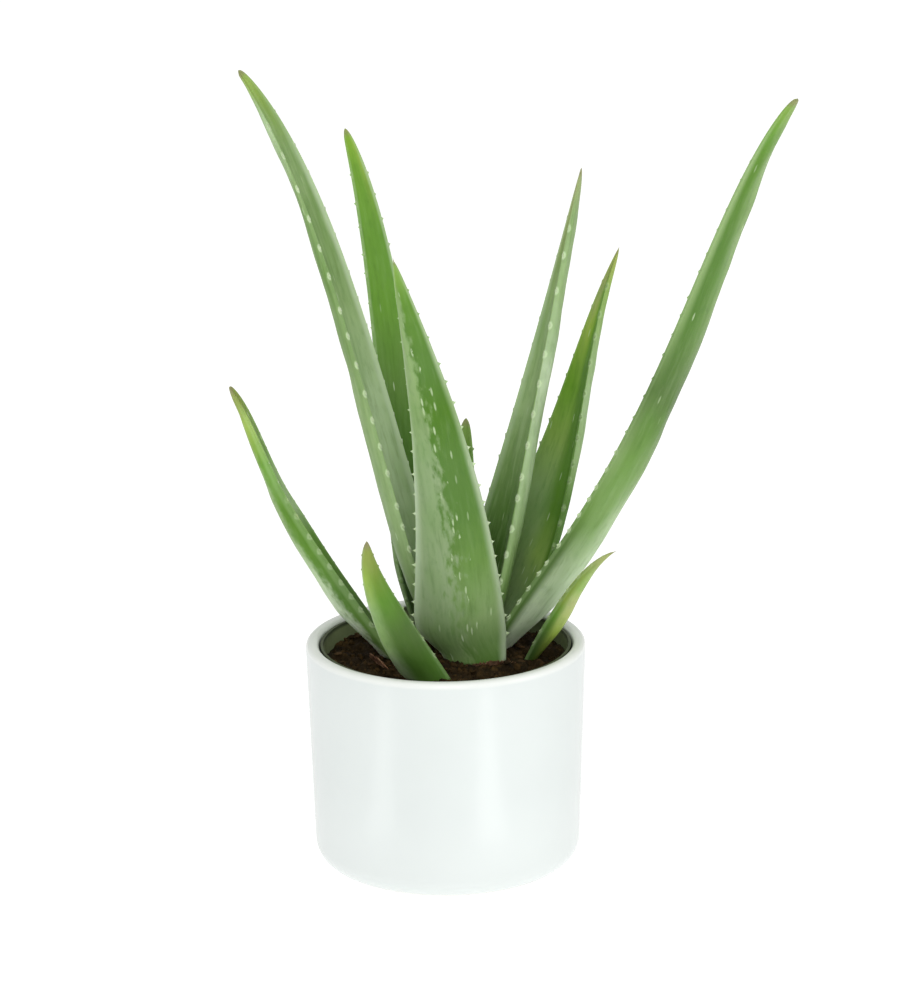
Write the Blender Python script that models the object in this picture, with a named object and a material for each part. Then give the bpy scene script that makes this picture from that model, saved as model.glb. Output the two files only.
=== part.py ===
"""Potted aloe plant: ten toothed fleshy leaves on a short stem, in soil, in a grow pot inside a glazed pot.

Metres, +Z up. The origin is the centre of the pot's flat foot. +X is the side the long arching leaf leans to,
-Y is the side the broad front leaf faces.
"""
import math

import bmesh
import bpy
import numpy as np

# ---- sizes of the pot, the soil and the stem, in millimetres ----
MM = 0.001
GAP = 0.3  # clearance left between pieces that touch

POT_HEIGHT = 111.0
POT_RIM_RADIUS = 67.5
POT_LOW_RADIUS = 64.2  # outside, just above the rounded foot corner
POT_FOOT_RADIUS = 53.0
POT_CORNER_HEIGHT = 12.0
POT_MOUTH_RADIUS = 61.3
POT_INSIDE_LOW_RADIUS = 58.5
POT_FLOOR = 8.0
POT_RIM_ROUND = 2.6

GROW_TOP = 109.4
GROW_TOP_RADIUS = 60.6
GROW_LOW_RADIUS = 51.0
GROW_WALL = 1.3
GROW_FLOOR = POT_FLOOR + GAP
DRAIN_HOLES = 5
DRAIN_RADIUS = 4.0
DRAIN_RING = 34.0

SOIL_TOP = 101.0
STEM_RADIUS = 17.0
STEM_BOTTOM = 62.0
STEM_X = 6.0
STEM_Y = 11.0

POT_SEGMENTS = 56
GROW_SEGMENTS = 48
SOIL_SEGMENTS = 48
STEM_SEGMENTS = 24

# ---- the leaves ----
# Each leaf is a sheet carried along a curved spine and thickened on its outer, lower side.
# root: where the spine leaves the soil, millimetres from the pot's axis
# faces: compass direction of the outer face in degrees, 0 toward +X and 90 toward +Y
# lean, arch, curl, bow: tilt outward from upright = lean + arch*t + curl*t^4 + bow*sin(pi*t);
#   t runs from 0 at the foot to 1 at the tip
# side, bend, kick: tilt sideways = side + bend*t + kick*t^4
# turn, twist: rotation about the spine, the first soon after the foot and the second gradual
# width, taper: breadth across the sheet = width*(1-t)^taper
# foot, waist, drift: over the length foot the leaf is narrower by the share waist and set aside by drift
# pinch, pinch_at: share of the breadth lost past this place, where the outer half stayed thin
# thick: greatest thickness; channel and clasp: degrees of arc of the section along the blade and at the foot
# teeth, pitch: size and spacing of the teeth beside those of the other leaves
LEAVES = {
    "leaf_front_broad": dict(
        root=(7, -6), faces=262, length=219, lean=6, arch=14.9, curl=-7, side=1.1, bend=-16.5, kick=5.1,
        turn=20.4, twist=-28.4, width=50.3, taper=0.87, thick=9.5, channel=72, clasp=75,
        foot=10.8, waist=0.36, drift=-6.5),
    "leaf_left_tall": dict(
        root=(-5, 13), faces=162, length=300.5, lean=16.3, arch=-2.7, curl=15, side=-2.4, bend=1.2,
        kick=18.5, turn=4.9, twist=-13.7, width=37.8, taper=0.47, thick=6, channel=98, clasp=80,
        foot=35, waist=0.55, drift=8.5, pitch=1.3),
    "leaf_back_left": dict(
        root=(-10, 26), faces=130, length=254, lean=14.4, arch=0.9, curl=11.1, side=-3.2, bend=-4.2,
        kick=10.1, turn=1.3, twist=-16.8, width=30.4, taper=0.52, thick=6.5, channel=50, clasp=50,
        foot=28, waist=0.35, drift=3.2),
    "leaf_middle": dict(
        root=(4, 8), faces=85, length=116.5, lean=3.5, arch=3, side=-3,
        width=23.5, taper=0.52, thick=6, channel=60, clasp=60, waist=0.24),
    "leaf_right_tall": dict(
        root=(13, 12), faces=25, length=242, lean=15.5, arch=-3, curl=-0.5, side=-1, bend=0.5, kick=-0.5,
        turn=13, twist=-37, width=37, taper=0.56, thick=8.5, channel=69, clasp=80, waist=0.38, pitch=1.3),
    "leaf_back_right": dict(
        root=(17, 29), faces=50, length=207.5, lean=22.5, arch=-26.5, curl=26, side=-21.5, bend=22.5,
        kick=-14.5, turn=9, twist=-46.5, width=46.5, taper=0.78, thick=9.7, channel=40.5, clasp=45,
        waist=0.46),
    "leaf_right_arching": dict(
        root=(27.5, 14), faces=-25, length=331.8, lean=40.4, arch=-35.4, curl=28.8, side=3.4, bend=-12.6,
        kick=0.6, turn=-19.9, twist=4.6, width=32.6, taper=0.37, thick=5, channel=70.5, clasp=60, waist=0.25),
    "leaf_right_short": dict(
        root=(42, -2), faces=-22, length=87.3, lean=35.6, arch=-11.7, curl=39.4, side=-12.1, bend=-6.1,
        kick=4.6, turn=-37.9, twist=0.3, width=18.3, taper=0.77, thick=3.4, channel=61.5, clasp=70,
        waist=0.2, teeth=0.5),
    "leaf_left_low": dict(
        root=(-27, 10), faces=183, length=179.5, lean=35.9, arch=-56.5, curl=49.6, bow=14, side=6.9, bend=12.9,
        kick=21.3, turn=8.9, twist=-20, width=25.5, taper=0.35, thick=8.8, channel=91.5, clasp=50,
        waist=0.1, pinch=0.42, pinch_at=0.52, teeth=0.55),
    "leaf_front_short": dict(
        root=(-10, -31), faces=250, length=87, lean=26, arch=-3, curl=-6, side=-19, bend=9.5,
        kick=18.5, turn=20, twist=11, width=23.5, taper=0.65, thick=8.5, channel=61, clasp=50, teeth=0.5),
}
LEAF_EDGE = 0.9  # thickness of the margin that carries the teeth
LEAF_PITCH_FOOT = 8.6  # distance between teeth near the foot
LEAF_PITCH_TIP = 14.0  # and near the tip
SHEET_POINTS = 5  # points across the upper face
BACK_POINTS = 7  # points across the lower face
TOOTH_BASE = 2.8
TOOTH_HEIGHT = 1.9
TOOTH_SEED = 11
FOOT_CUT = 35.0  # length over which the level foot cut blends into square sections
FOOT_CLASP = 30.0
FOOT_THIN = 22.0
FOOT_LENGTH = 20.0
PINCH_OVER = 0.04  # part of the length over which a pinched leaf loses breadth

# ---- dry remains of old leaves at the foot of the plant ----
# centre of the arc, its radius, first and last direction in degrees, height, outward lean in degrees
DRY_SCALES = {
    "dry_scale_left": dict(centre=(6, 10), radius=42.5, first=198, last=219, height=7.0, lean=28),
    "dry_scale_front": dict(centre=(15, 31), radius=44.5, first=266, last=294, height=4.6, lean=32),
}
DRY_THICKNESS = 0.9
DRY_STEPS = 12


# ---- helpers ----
def clear_scene():
    for thing in list(bpy.data.objects):
        bpy.data.objects.remove(thing, do_unlink=True)


def make_material(name, colour, roughness):
    material = bpy.data.materials.new(name)
    material.use_nodes = True
    shader = material.node_tree.nodes["Principled BSDF"]
    shader.inputs["Base Color"].default_value = (*colour, 1.0)
    shader.inputs["Roughness"].default_value = roughness
    return material


def add_piece(name, points, faces, material, smooth_degrees=40.0):
    """Make one closed mesh with outward faces from points in millimetres."""
    mesh = bpy.data.meshes.new(name)
    mesh.from_pydata([tuple(float(v) * MM for v in point) for point in points], [], faces)
    work = bmesh.new()
    work.from_mesh(mesh)
    bmesh.ops.recalc_face_normals(work, faces=work.faces)
    if work.calc_volume(signed=True) < 0.0:
        bmesh.ops.reverse_faces(work, faces=work.faces)
    work.to_mesh(mesh)
    work.free()
    piece = bpy.data.objects.new(name, mesh)
    bpy.context.scene.collection.objects.link(piece)
    mesh.materials.append(material)
    mesh.shade_smooth()
    mesh.set_sharp_from_angle(angle=math.radians(smooth_degrees))
    return piece


def lathe(profile, segments, centre=(0.0, 0.0)):
    """Turn a profile of (radius, height) round the vertical; a radius of 0 makes a single pole point."""
    points = []
    rings = []
    for radius, height in profile:
        if radius == 0.0:
            rings.append([len(points)])
            points.append((centre[0], centre[1], height))
            continue
        ring = []
        for step in range(segments):
            angle = 2.0 * math.pi * step / segments
            ring.append(len(points))
            points.append((centre[0] + radius * math.cos(angle), centre[1] + radius * math.sin(angle), height))
        rings.append(ring)
    faces = []
    for lower, upper in zip(rings, rings[1:]):
        for step in range(segments):
            after = (step + 1) % segments
            if len(lower) == 1:
                faces.append((lower[0], upper[after], upper[step]))
            elif len(upper) == 1:
                faces.append((lower[step], lower[after], upper[0]))
            else:
                faces.append((lower[step], lower[after], upper[after], upper[step]))
    return points, faces


def quarter(centre_radius, centre_height, size_out, size_up, first, last, steps):
    """Points on part of an ellipse, for a rounded corner of a profile."""
    corner = []
    for step in range(steps + 1):
        angle = math.radians(first + (last - first) * step / steps)
        corner.append((centre_radius + size_out * math.cos(angle), centre_height + size_up * math.sin(angle)))
    return corner


# ---- pot, grow pot, soil and stem ----
def build_pot(material):
    outer_corner = POT_LOW_RADIUS - POT_FOOT_RADIUS
    profile = [(0.0, 0.0)]
    profile += quarter(POT_FOOT_RADIUS, POT_CORNER_HEIGHT, outer_corner, POT_CORNER_HEIGHT, -90, 0, 5)
    bead = POT_RIM_ROUND
    profile += quarter(POT_RIM_RADIUS - bead, POT_HEIGHT - bead, bead, bead, 0, 90, 3)
    profile += quarter(POT_MOUTH_RADIUS + bead, POT_HEIGHT - bead, bead, bead, 90, 180, 3)
    profile += quarter(POT_INSIDE_LOW_RADIUS - 8.0, POT_FLOOR + 8.0, 8.0, 8.0, 0, -90, 3)
    profile.append((0.0, POT_FLOOR))
    points, faces = lathe(profile, POT_SEGMENTS)
    return add_piece("pot", points, faces, material)


def grow_radius(height):
    """Outside radius of the tapering grow pot at a height."""
    share = (height - GROW_FLOOR) / (GROW_TOP - GROW_FLOOR)
    return GROW_LOW_RADIUS + (GROW_TOP_RADIUS - GROW_LOW_RADIUS) * share


def build_grow_pot(material):
    low = GROW_LOW_RADIUS
    inside_floor = GROW_FLOOR + GROW_WALL
    profile = [
        (0.0, GROW_FLOOR),
        (low - 2.0, GROW_FLOOR),
        (grow_radius(GROW_FLOOR + 2.0), GROW_FLOOR + 2.0),
        (GROW_TOP_RADIUS, GROW_TOP),
        (GROW_TOP_RADIUS - GROW_WALL, GROW_TOP),
        (grow_radius(inside_floor + 2.0) - GROW_WALL, inside_floor + 2.0),
        (low - GROW_WALL - 2.0, inside_floor),
        (0.0, inside_floor),
    ]
    points, faces = lathe(profile, GROW_SEGMENTS)
    pot = add_piece("grow_pot", points, faces, material)
    cutters = bpy.data.collections.new("drain_cutters")
    bpy.context.scene.collection.children.link(cutters)
    for hole in range(DRAIN_HOLES):
        angle = 2.0 * math.pi * (hole + 0.5) / DRAIN_HOLES
        centre = (DRAIN_RING * math.cos(angle), DRAIN_RING * math.sin(angle))
        low_end, high_end = GROW_FLOOR - 2.0, inside_floor + 2.0
        column = [(0.0, low_end), (DRAIN_RADIUS, low_end), (DRAIN_RADIUS, high_end), (0.0, high_end)]
        points, faces = lathe(column, 14, centre)
        cutter = add_piece("drain_cutter_%d" % hole, points, faces, material)
        bpy.context.scene.collection.objects.unlink(cutter)
        cutters.objects.link(cutter)
        cutter.hide_render = True
        cutter.display_type = "WIRE"
    cut = pot.modifiers.new("drain_holes", "BOOLEAN")
    cut.operation = "DIFFERENCE"
    cut.solver = "EXACT"
    cut.operand_type = "COLLECTION"
    cut.collection = cutters
    apply_modifiers(pot)
    for cutter in list(cutters.objects):
        bpy.data.objects.remove(cutter, do_unlink=True)
    bpy.data.collections.remove(cutters)
    return pot


def apply_modifiers(piece):
    graph = bpy.context.evaluated_depsgraph_get()
    solid = bpy.data.meshes.new_from_object(piece.evaluated_get(graph))
    old = piece.data
    piece.modifiers.clear()
    piece.data = solid
    solid.name = piece.name
    bpy.data.meshes.remove(old)


def build_soil(material):
    bottom = GROW_FLOOR + GROW_WALL + GAP
    hole = STEM_RADIUS + GAP
    side_low = grow_radius(bottom + 3.0) - GROW_WALL - GAP
    side_top = grow_radius(SOIL_TOP) - GROW_WALL - GAP
    profile = [(0.0, bottom), (side_low - 3.0, bottom), (side_low, bottom + 3.0), (side_top, SOIL_TOP)]
    points, faces = lathe(profile, SOIL_SEGMENTS)
    outer_ring = list(range(len(points) - SOIL_SEGMENTS, len(points)))
    hole_top = len(points)
    for height in (SOIL_TOP, STEM_BOTTOM - GAP):
        for step in range(SOIL_SEGMENTS):
            angle = 2.0 * math.pi * step / SOIL_SEGMENTS
            points.append((STEM_X + hole * math.cos(angle), STEM_Y + hole * math.sin(angle), height))
    hole_low = hole_top + SOIL_SEGMENTS
    points.append((STEM_X, STEM_Y, STEM_BOTTOM - GAP))
    pole = len(points) - 1
    for step in range(SOIL_SEGMENTS):
        after = (step + 1) % SOIL_SEGMENTS
        faces.append((outer_ring[step], outer_ring[after], hole_top + after, hole_top + step))
        faces.append((hole_top + step, hole_top + after, hole_low + after, hole_low + step))
        faces.append((hole_low + step, hole_low + after, pole))
    return add_piece("soil", points, faces, material)


def build_stem(material):
    profile = [(0.0, STEM_BOTTOM), (STEM_RADIUS - 5.0, STEM_BOTTOM), (STEM_RADIUS - 1.5, STEM_BOTTOM + 2.5),
               (STEM_RADIUS, STEM_BOTTOM + 7.0), (STEM_RADIUS, SOIL_TOP), (0.0, SOIL_TOP)]
    points, faces = lathe(profile, STEM_SEGMENTS, (STEM_X, STEM_Y))
    return add_piece("stem", points, faces, material)


# ---- leaves ----
def leaf_rows(leaf):
    """Distances of the cross-sections along the spine; one tooth pitch apart, closer at the tip."""
    rows = [0.0]
    length = leaf["length"]
    while True:
        pitch = LEAF_PITCH_FOOT + (LEAF_PITCH_TIP - LEAF_PITCH_FOOT) * rows[-1] / length
        pitch = min(pitch, length / 9.0) * leaf.get("pitch", 1.0)
        if rows[-1] + pitch > length - 9.0:
            break
        rows.append(rows[-1] + pitch)
    rows.append(length - 5.0)
    rows.append(length - 1.8)
    return np.array(rows)


def leaf_axes(leaf, t):
    """Direction along the spine, across the sheet and up from its face, for an array of t."""
    bow = leaf.get("bow", 0) * np.sin(np.pi * t)
    tilt = leaf["lean"] + leaf["arch"] * t + leaf.get("curl", 0) * t**4 + bow
    sway = leaf["side"] + leaf.get("bend", 0) * t + leaf.get("kick", 0) * t**4
    turn = leaf.get("turn", 0) * (1.0 - np.exp(-t * leaf["length"] / 25.0)) + leaf.get("twist", 0) * t
    tilt, sway, turn = np.radians(tilt)[:, None], np.radians(sway)[:, None], np.radians(turn)[:, None]
    facing = math.radians(leaf["faces"])
    out = np.array([math.cos(facing), math.sin(facing), 0.0])
    sideways = np.array([-math.sin(facing), math.cos(facing), 0.0])
    up = np.array([0.0, 0.0, 1.0])
    along = np.cos(sway) * (np.sin(tilt) * out + np.cos(tilt) * up) + np.sin(sway) * sideways
    face = np.sin(tilt) * up - np.cos(tilt) * out
    across = np.cross(along, face)
    return along, across * np.cos(turn) - face * np.sin(turn), face * np.cos(turn) + across * np.sin(turn)


def leaf_spine(leaf, t):
    fine = np.linspace(0.0, 1.0, 161)
    along = leaf_axes(leaf, fine)[0]
    steps = (along[1:] + along[:-1]) * 0.5 * leaf["length"] / 160.0
    path = np.vstack([np.zeros(3), np.cumsum(steps, axis=0)])
    path += np.array([leaf["root"][0], leaf["root"][1], SOIL_TOP + GAP])
    return np.stack([np.interp(t, fine, path[:, k]) for k in range(3)], axis=1)


def leaf_sections(leaf, rows):
    """Upper-face and lower-face points of every cross-section, as arrays of rows x points x 3."""
    t = rows / leaf["length"]
    along, across, face = leaf_axes(leaf, t)
    near_foot = np.exp(-(rows / leaf.get("foot", FOOT_LENGTH))**2)
    aside = across * np.array([1.0, 1.0, 0.0]) * (leaf.get("drift", 0) * near_foot)[:, None]
    spine = leaf_spine(leaf, t) + aside
    breadth = leaf["width"] * (1.0 - t)**leaf["taper"] * (1.0 - leaf.get("waist", 0) * near_foot)
    breadth *= 1.0 - leaf.get("pinch", 0) / (1.0 + np.exp((leaf.get("pinch_at", 0.5) - t) / PINCH_OVER))
    arc = leaf["channel"] + (leaf["clasp"] - leaf["channel"]) * np.exp(-(rows / FOOT_CLASP)**1.5)
    arc = np.radians(arc)[:, None]
    thick = leaf["thick"] * (1.0 - t)**0.5 * (1.0 - 0.5 * np.exp(-(rows / FOOT_THIN)**2))
    edge = np.minimum(LEAF_EDGE, 0.3 * breadth)[:, None]
    radius = breadth[:, None] / arc

    def surface(share, depth):
        angle = arc * 0.5 * share
        offset = edge * depth + np.maximum(thick[:, None] - edge, 0.0) * depth * np.sqrt(1.0 - share**2)
        u = (radius + offset) * np.sin(angle)
        v = radius - (radius + offset) * np.cos(angle)
        points = spine[:, None] + u[..., None] * across[:, None] + v[..., None] * face[:, None]
        level = np.clip(1.0 - rows / FOOT_CUT, 0.0, 1.0)[:, None]
        rise = (points[..., 2] - spine[:, None, 2]) * level / np.maximum(along[:, None, 2], 0.3)
        return points - rise[..., None] * along[:, None]

    upper = surface(np.linspace(-1.0, 1.0, SHEET_POINTS), 0.0)
    return upper, surface(np.linspace(-1.0, 1.0, BACK_POINTS), 1.0)


def tooth_plan(name, rows, length):
    """For each margin, the row interval, the place in it and the height of every tooth."""
    chance = np.random.default_rng(TOOTH_SEED + sum(ord(letter) for letter in name))
    plan = {}
    for margin in (0, 1):
        for row in range(len(rows) - 2):
            place = 0.5 + chance.uniform(-0.16, 0.16)
            height = TOOTH_HEIGHT * chance.uniform(0.75, 1.15)
            share = 0.5 * (rows[row] + rows[row + 1]) / length
            if rows[row] < 5.0 or share > 0.93:
                continue
            plan[(margin, row)] = (place, height * (1.0 - 0.55 * share))
    return plan


def build_leaf(name, leaf, material):
    rows = leaf_rows(leaf)
    top, back = leaf_sections(leaf, rows)
    tip = leaf_spine(leaf, np.array([1.0]))[0]
    along, across, face = leaf_axes(leaf, rows / leaf["length"])
    points = [tuple(p) for p in np.concatenate([top, back], axis=1).reshape(-1, 3)]
    ring = SHEET_POINTS + BACK_POINTS
    faces = []

    def at(row, index):
        return row * ring + index

    plan = tooth_plan(name, rows, leaf["length"])
    last = SHEET_POINTS - 1
    for row in range(len(rows) - 1):
        for index in range(1, last - 1):
            faces.append((at(row, index), at(row, index + 1), at(row + 1, index + 1), at(row + 1, index)))
        for index in range(SHEET_POINTS + 1, ring - 2):
            faces.append((at(row, index + 1), at(row, index), at(row + 1, index), at(row + 1, index + 1)))
        for margin in (0, 1):
            sheet_edge, sheet_next = (0, 1) if margin == 0 else (last, last - 1)
            back_edge, back_next = (SHEET_POINTS, SHEET_POINTS + 1) if margin == 0 else (ring - 1, ring - 2)
            sheet_line = [at(row, sheet_edge), at(row + 1, sheet_edge)]
            back_line = [at(row, back_edge), at(row + 1, back_edge)]
            tooth = None
            if (margin, row) in plan:
                place, height = plan[(margin, row)]
                gap = float(np.linalg.norm(top[row + 1, sheet_edge] - top[row, sheet_edge]))
                half = min(0.5 * TOOTH_BASE / gap, 0.3)
                height *= leaf.get("teeth", 1.0)
                half *= leaf.get("teeth", 1.0)**0.5
                outward = across[row] * (-1.0 if margin == 0 else 1.0)
                for line in (sheet_line, back_line):
                    foot, head = np.array(points[line[0]]), np.array(points[line[1]])
                    for share in (place + half, place - half):
                        line.insert(1, len(points))
                        points.append(tuple(foot + (head - foot) * share))
                corners = (sheet_line[1], sheet_line[2], back_line[2], back_line[1])
                middle = np.mean([points[corner] for corner in corners], axis=0)
                tooth = len(points)
                points.append(tuple(middle + outward * height + along[row] * height * 0.35))
            for line, inner in ((sheet_line, sheet_next), (back_line, back_next)):
                low, high = at(row, inner), at(row + 1, inner)
                strip = [(first, second, low) for first, second in zip(line, line[1:])]
                strip.append((line[-1], high, low))
                faces += strip
            for first in range(len(sheet_line) - 1):
                square = (sheet_line[first], sheet_line[first + 1], back_line[first + 1], back_line[first])
                if tooth is not None and first == 1:
                    for side in range(4):
                        faces.append((square[side], square[(side + 1) % 4], tooth))
                else:
                    faces.append(square)
    outline_low = list(range(SHEET_POINTS)) + list(range(ring - 1, SHEET_POINTS - 1, -1))
    faces += foot_faces(outline_low)
    points.append(tuple(tip))
    pole = len(points) - 1
    end = [at(len(rows) - 1, index) for index in outline_low]
    for first, second in zip(end, end[1:] + end[:1]):
        faces.append((first, second, pole))
    return add_piece(name, points, faces, material, 50.0)


def foot_faces(outline):
    """Close the level foot of a leaf between its upper-face and lower-face points."""
    sheet = outline[:SHEET_POINTS]
    back = outline[SHEET_POINTS:][::-1]
    faces = []
    low, high = 0, 0
    while low < SHEET_POINTS - 1 or high < BACK_POINTS - 1:
        if high < BACK_POINTS - 1 and (high + 1) * (SHEET_POINTS - 1) <= (low + 1) * (BACK_POINTS - 1):
            faces.append((sheet[low], back[high + 1], back[high]))
            high += 1
        elif low < SHEET_POINTS - 1:
            faces.append((sheet[low], sheet[low + 1], back[high]))
            low += 1
        else:
            faces.append((sheet[low], back[high + 1], back[high]))
            high += 1
    return faces


# ---- dry remains ----
def build_dry_scale(name, scale, material):
    """A low papery wall along an arc, leaning outward, with an uneven upper edge."""
    chance = np.random.default_rng(TOOTH_SEED + len(name))
    foot = SOIL_TOP + GAP
    lean = math.tan(math.radians(scale["lean"]))
    points = []
    for step in range(DRY_STEPS + 1):
        share = step / DRY_STEPS
        angle = math.radians(scale["first"] + (scale["last"] - scale["first"]) * share)
        height = scale["height"] * (0.35 + 0.65 * math.sin(math.pi * min(max(share, 0.06), 0.94)))
        height *= chance.uniform(0.82, 1.0)
        for radius, up in ((0.0, 0.0), (DRY_THICKNESS, 0.0), (DRY_THICKNESS, height), (0.0, height)):
            reach = scale["radius"] + radius + up * lean
            x, y = scale["centre"]
            points.append((x + reach * math.cos(angle), y + reach * math.sin(angle), foot + up))
    faces = [(0, 1, 2, 3), tuple(4 * DRY_STEPS + corner for corner in (3, 2, 1, 0))]
    for step in range(DRY_STEPS):
        for corner in range(4):
            after = (corner + 1) % 4
            faces.append((4 * step + corner, 4 * step + after, 4 * step + 4 + after, 4 * step + 4 + corner))
    return add_piece(name, points, faces, material)


def build_all():
    clear_scene()
    ceramic = make_material("white_glaze", (0.86, 0.87, 0.86), 0.15)
    plastic = make_material("dark_plastic", (0.035, 0.04, 0.03), 0.5)
    earth = make_material("potting_soil", (0.05, 0.028, 0.016), 0.9)
    woody = make_material("stem_tissue", (0.28, 0.24, 0.12), 0.7)
    green = make_material("leaf_skin", (0.2, 0.36, 0.15), 0.45)
    papery = make_material("dry_leaf", (0.3, 0.16, 0.08), 0.85)
    build_pot(ceramic)
    build_grow_pot(plastic)
    build_soil(earth)
    build_stem(woody)
    for name, leaf in LEAVES.items():
        build_leaf(name, leaf, green)
    for name, scale in DRY_SCALES.items():
        build_dry_scale(name, scale, papery)


build_all()
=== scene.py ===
import math
from functools import partial

import bpy
import numpy as np
from mathutils import Matrix


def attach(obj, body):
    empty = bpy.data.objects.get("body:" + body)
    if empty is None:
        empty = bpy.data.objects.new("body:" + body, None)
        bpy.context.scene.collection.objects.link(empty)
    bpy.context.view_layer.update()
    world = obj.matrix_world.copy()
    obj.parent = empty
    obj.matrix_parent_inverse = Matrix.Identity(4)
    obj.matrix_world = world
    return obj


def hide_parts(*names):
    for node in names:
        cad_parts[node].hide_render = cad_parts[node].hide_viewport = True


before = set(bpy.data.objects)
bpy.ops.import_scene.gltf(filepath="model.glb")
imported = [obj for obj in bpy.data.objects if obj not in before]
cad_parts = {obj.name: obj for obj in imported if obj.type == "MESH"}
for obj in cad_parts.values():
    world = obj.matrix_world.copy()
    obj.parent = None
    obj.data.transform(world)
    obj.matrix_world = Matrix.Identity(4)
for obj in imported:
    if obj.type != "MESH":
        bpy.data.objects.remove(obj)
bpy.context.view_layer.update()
scene = bpy.context.scene
mm = 0.001
print("frame loaded:", len(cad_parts), "nodes")

# settings that many shader nodes share: a soft step, a mix of colours, and four kinds of sum
soft = dict(interpolation_type="SMOOTHSTEP")
blend = dict(output=2, data_type="RGBA")
times, timesPlus, minus, over = (
    dict(operation=kind) for kind in ("MULTIPLY", "MULTIPLY_ADD", "SUBTRACT", "DIVIDE"))


def tone(code):  # an sRGB hex colour turned to linear values
    parts = [int(code[place:place + 2], 16) / 255.0 for place in (0, 2, 4)]
    return [part / 12.92 if part <= 0.04045 else ((part + 0.055) / 1.055)**2.4 for part in parts] + [1.0]


def addNode(material, kind, inputs=(), output=0, stops=(), **settings):
    # one node: its settings, its inputs in order or by name or number, each a value or the socket that feeds
    # it, and a ramp's stops; gives back one output, or all with None
    node = material.node_tree.nodes.new("ShaderNode" + kind)
    for key, value in settings.items():
        setattr(node, key, value)
    for key, value in inputs.items() if isinstance(inputs, dict) else enumerate(inputs):
        if isinstance(value, bpy.types.NodeSocket):
            material.node_tree.links.new(value, node.inputs[key])
        else:
            node.inputs[key].default_value = value
    if stops:
        elements = node.color_ramp.elements
        elements.remove(elements[1])
        elements[0].position, elements[0].color = stops[0]
        for place, colour in stops[1:]:
            elements.new(place).color = colour
    return node.outputs if output is None else node.outputs[output]


def newMaterial(name):
    # an empty material, and addNode for its own nodes
    material = bpy.data.materials.new(name)
    material.use_nodes = True
    material.node_tree.nodes.clear()
    return material, partial(addNode, material)


def finishMaterial(material, colour, rough, refraction, relief=None, more=None):
    # the surface; relief: the height of its bumps, their strength and depth in metres
    inputs = {"Base Color": colour, "Roughness": rough, "IOR": refraction, **(more or {})}
    if relief:
        height, strength, depth = relief
        bumps = {"Strength": strength, "Distance": depth, "Height": height}
        inputs["Normal"] = addNode(material, "Bump", bumps)
    surface = addNode(material, "BsdfPrincipled", inputs)
    addNode(material, "OutputMaterial", {"Surface": surface}, None)
    return material


def together(*parts):
    # arrays spread to one shape and set side by side as the parts of points
    return np.stack(np.broadcast_arrays(*parts), axis=-1)


def turnRound(sides):
    # the angles of a full turn
    return np.linspace(0.0, 2.0 * np.pi, sides, endpoint=False)


def nameNumber(name):
    # each name's own number, to seed what chance decides there
    return sum(ord(letter) for letter in name)


def ripple(points, size, seed, waves=28):
    # a smooth random field of about -1 to 1: cosines along random directions, each wave about size long
    chance = np.random.default_rng(seed)
    way = chance.normal(size=(waves, points.shape[-1]))
    way *= (2 * np.pi / size / np.linalg.norm(way, axis=1) * chance.uniform(0.6, 1.5, waves))[:, None]
    return np.cos(points @ way.T + chance.uniform(0, 2 * np.pi, waves)).sum(axis=-1) * math.sqrt(2.0 / waves)


def gridFaces(rows, ring):
    # quads between neighbouring rings of a grid of points, each row closed into a loop
    low = np.arange(rows - 1)[:, None] * ring
    high = low + ring
    place = np.arange(ring)[None, :]
    after = (place + 1) % ring
    return together(low + place, low + after, high + after, high + place).reshape(-1, 4)


def fanFaces(ring, pole, flip=False):
    # triangles from a loop of point numbers to one pole
    after = np.roll(ring, -1)
    pair = (after, ring) if flip else (ring, after)
    return together(*pair, pole)


def closedFaces(rows, ring):
    # a grid closed at both ends by two poles, which are the two points after the grid
    last = rows * ring
    return (gridFaces(rows, ring).tolist() + fanFaces(np.arange(ring), last, True).tolist()
            + fanFaces(np.arange(ring) + last - ring, last + 1).tolist())


def closedMesh(grid, first, last):
    # the points and faces of a grid closed at both ends by the two poles
    return np.vstack([grid.reshape(-1, 3), first, last]), closedFaces(*grid.shape[:2])


def addObject(name, data):
    thing = bpy.data.objects.new(name, data)
    scene.collection.objects.link(thing)
    return thing


def addPiece(name, points, faces, material, node=None, attributes=None, smooth=True):
    # a mesh from points in millimetres, riding on the one body; with node it replaces that CAD node
    mesh = bpy.data.meshes.new(name)
    mesh.from_pydata((np.asarray(points) * mm).tolist(), [], faces)
    for key, values in (attributes or {}).items():
        layer = mesh.attributes.new(key, "FLOAT_VECTOR", "POINT")
        layer.data.foreach_set("vector", np.asarray(values, dtype=np.float32).ravel())
    mesh.materials.append(material)
    if smooth:
        mesh.shade_smooth()
    piece = addObject(name, mesh)
    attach(piece, "root")
    if node:
        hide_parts(node)
    return piece


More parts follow.
